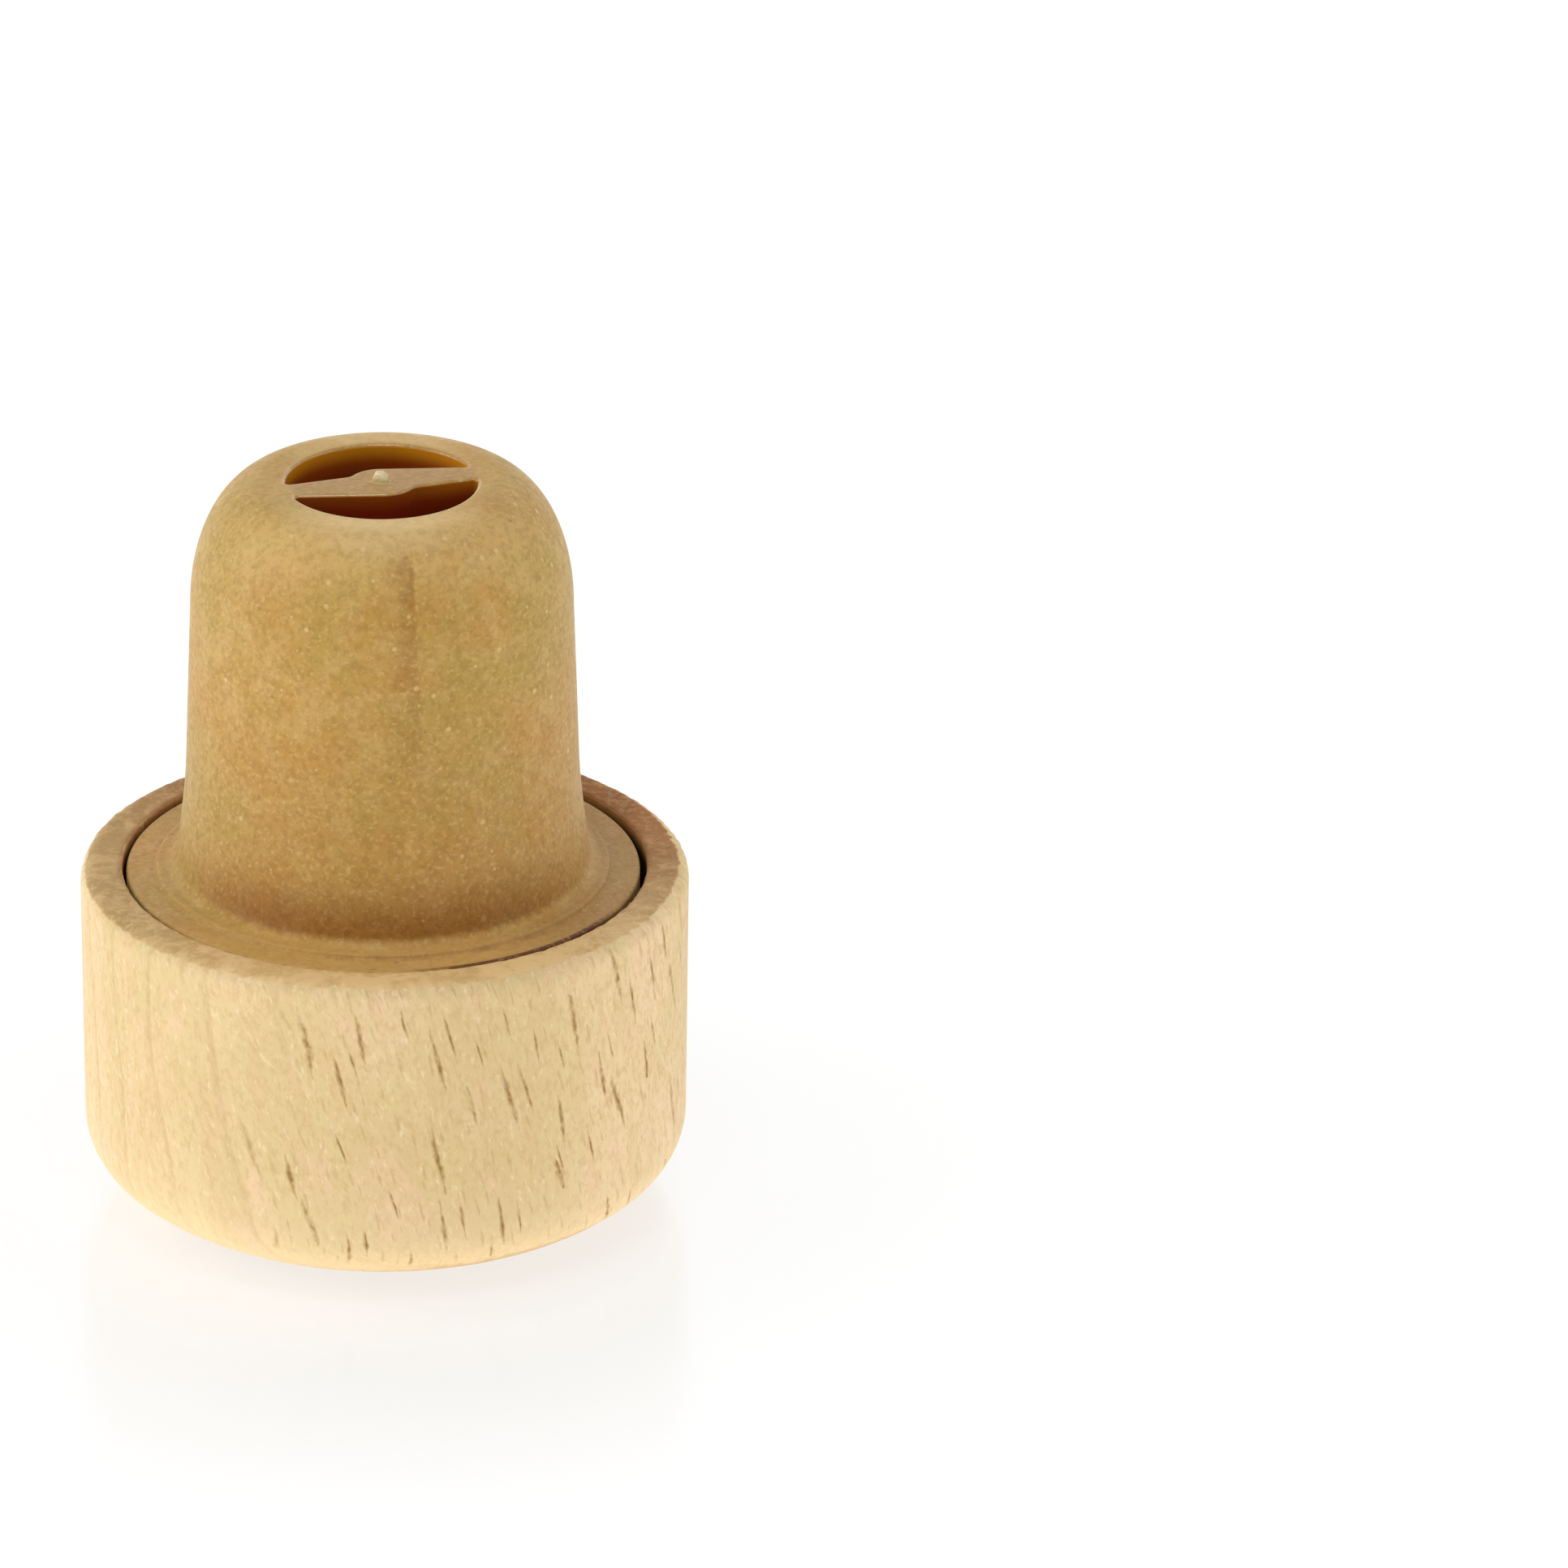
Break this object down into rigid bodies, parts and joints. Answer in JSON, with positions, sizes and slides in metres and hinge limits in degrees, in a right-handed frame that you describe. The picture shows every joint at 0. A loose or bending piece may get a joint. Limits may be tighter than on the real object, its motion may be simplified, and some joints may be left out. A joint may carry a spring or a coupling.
{
  "type": "bottle stopper",
  "caption": "Bottle stopper: turned wooden head with a rounded face, and a tapered moulded cork whose flange is sunk in the head and whose end is hollowed beside a web.",
  "frame": {"origin": "centre of the head's flat face, which the stopper stands on", "axes": "+Z along the stopper's axis, from the head's face to the mouth of the cork; the web crosses the mouth roughly along X"},
  "size_m": [0.0304, 0.0304, 0.0389],
  "materials": {
    "wood": "bare sanded pale hardwood with fine dark pores, end grain on the face and the rim",
    "moulded_cork": "matte tan moulded elastomer with a fine paler speckle"
  },
  "bodies": {
    "root": {"wooden_head": "wood", "synthetic_cork": "moulded_cork"}
  },
  "joints": []
}
